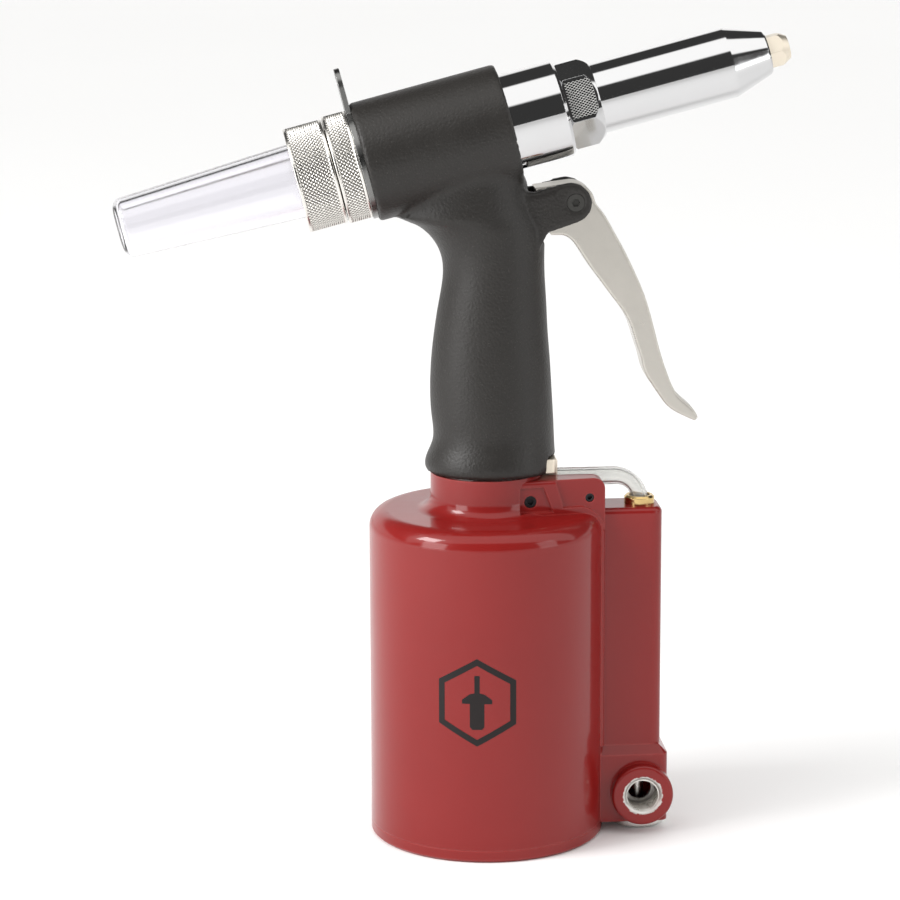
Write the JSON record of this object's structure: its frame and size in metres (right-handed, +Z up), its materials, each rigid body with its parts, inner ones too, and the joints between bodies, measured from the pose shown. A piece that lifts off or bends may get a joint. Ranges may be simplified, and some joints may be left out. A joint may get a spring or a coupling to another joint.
{
  "type": "pneumatic rivet gun",
  "caption": "Hand-held air-over-oil rivet puller: upright air cylinder, black grip with lever trigger, tilted head with chromed nose and a clear collecting bottle.",
  "frame": {"origin": "centre of the air cylinder's foot, on the surface the tool stands on", "axes": "+Z up along the air cylinder, +X towards the nose, -Y towards the air inlet"},
  "size_m": [0.2328, 0.082, 0.2832],
  "materials": {
    "red_paint": "gloss",
    "seal_rubber": "matte",
    "grip_black": "pebbled satin",
    "plain_aluminium": "machined",
    "steel": "ground",
    "spring_steel": "drawn",
    "brass": "turned",
    "chrome": "polished",
    "pale_nickel": "satin",
    "knurled_steel": "knurled",
    "hanger_steel": "satin",
    "clear_plastic": "clear",
    "cast_lever": "polished cast",
    "black_steel": "blackened",
    "hose_plastic": "clear"
  },
  "bodies": {
    "frame": {"cylinder_casting": "red_paint", "base_cap": "red_paint", "base_cap_oring": "seal_rubber", "base_bumper": "seal_rubber", "plug_oring": "seal_rubber", "ram_seal": "seal_rubber", "rod_seal": "seal_rubber", "front_gland_oring": "seal_rubber", "grip_sleeve": "grip_black", "handle_casting": "plain_aluminium", "signal_block": "plain_aluminium", "valve_plug": "plain_aluminium", "handle_nut": "steel", "oil_tube": "steel", "pin_clip": "steel", "return_spring": "spring_steel", "valve_spring": "spring_steel", "pilot_spring": "spring_steel", "ram_gland": "brass", "pilot_body": "brass", "brass_fitting": "brass", "front_gland": "chrome", "nose_housing": "chrome", "nosepiece": "pale_nickel", "end_cap": "knurled_steel", "hanger_plate": "hanger_steel", "trigger_pin": "black_steel", "port_screw": "black_steel", "drill_screw": "black_steel", "signal_hose": "hose_plastic"},
    "air_piston_unit": {"air_piston": "plain_aluminium", "air_piston_seal": "seal_rubber", "ram_rod": "steel", "piston_nut": "steel"},
    "head_piston_unit": {"head_piston": "steel", "piston_seal_a": "seal_rubber", "piston_seal_b": "seal_rubber", "mandrel_tube": "steel", "jaw_case": "steel", "jaw_spring": "spring_steel"},
    "pusher": {"jaw_pusher": "steel"},
    "jaw_a": {"jaw_1": "steel"},
    "jaw_b": {"jaw_2": "steel"},
    "jaw_c": {"jaw_3": "steel"},
    "spool": {"valve_spool": "plain_aluminium", "spool_seal_low": "seal_rubber", "spool_seal_high": "seal_rubber"},
    "pilot": {"pilot_stem": "steel", "pilot_seal": "seal_rubber"},
    "lever": {"trigger": "cast_lever"},
    "bottle": {"collector_bottle": "clear_plastic", "bottle_gasket": "seal_rubber"},
    "ring": {"collector_ring": "knurled_steel"}
  },
  "joints": [
    {"name": "air_piston_slide", "type": "slide", "parent": "frame", "child": "air_piston_unit", "axis": [0, 0, 1], "range_m": [0, 0.07], "stiffness_N_per_m": 400, "springref_m": -0.05, "deforming": ["return_spring"]},
    {"name": "head_piston_slide", "type": "slide", "parent": "frame", "child": "head_piston_unit", "axis": [-0.9681, 0, -0.2504], "range_m": [0, 0.016]},
    {"name": "jaw_pusher_slide", "type": "slide", "parent": "head_piston_unit", "child": "pusher", "axis": [0.9681, 0, 0.2504], "range_m": [0, 0.00151], "deforming": ["jaw_spring"]},
    {"name": "jaw_a_slide", "type": "slide", "parent": "head_piston_unit", "child": "jaw_a", "axis": [0.999, 0, 0.0436], "range_m": [0, 0.00154]},
    {"name": "jaw_b_slide", "type": "slide", "parent": "head_piston_unit", "child": "jaw_b", "axis": [0.921, 0.1801, 0.3456], "range_m": [0, 0.00154]},
    {"name": "jaw_c_slide", "type": "slide", "parent": "head_piston_unit", "child": "jaw_c", "axis": [0.921, -0.1801, 0.3456], "range_m": [0, 0.00154]},
    {"name": "spool_slide", "type": "slide", "parent": "frame", "child": "spool", "axis": [0, 0, 1], "range_m": [0, 0.008], "stiffness_N_per_m": 250, "springref_m": -0.012, "deforming": ["valve_spring"]},
    {"name": "trigger_hinge", "type": "hinge", "parent": "frame", "child": "lever", "pos_m": [0.0301, 0, 0.2252], "axis": [0, 1, 0], "range_deg": [0, 18], "stiffness_Nm_per_rad": 0.3, "springref_deg": -17.19},
    {"name": "pilot_stem_slide", "type": "slide", "parent": "frame", "child": "pilot", "axis": [-1, 0, 0], "range_m": [0, 0.0021], "deforming": ["pilot_spring"]},
    {"name": "bottle_slide", "type": "slide", "parent": "frame", "child": "bottle", "axis": [-0.9681, 0, -0.2504], "range_m": [0, 0.006]},
    {"name": "ring_turn", "type": "hinge", "parent": "bottle", "child": "ring", "pos_m": [-0.05809, 0, 0.23478], "axis": [-0.9681, 0, -0.2504], "range_deg": [0, 1441]}
  ],
  "couplings": [
    {"joint": "head_piston_slide", "follows": "air_piston_slide", "ratio": 0.22702},
    {"joint": "jaw_pusher_slide", "follows": "air_piston_slide", "ratio": 0.021429},
    {"joint": "jaw_a_slide", "follows": "air_piston_slide", "ratio": 0.021907},
    {"joint": "jaw_b_slide", "follows": "air_piston_slide", "ratio": 0.021907},
    {"joint": "jaw_c_slide", "follows": "air_piston_slide", "ratio": 0.021907},
    {"joint": "pilot_stem_slide", "follows": "trigger_hinge", "m_per_rad": 0.0063662},
    {"joint": "ring_turn", "follows": "bottle_slide", "rad_per_m": 4188.8}
  ]
}
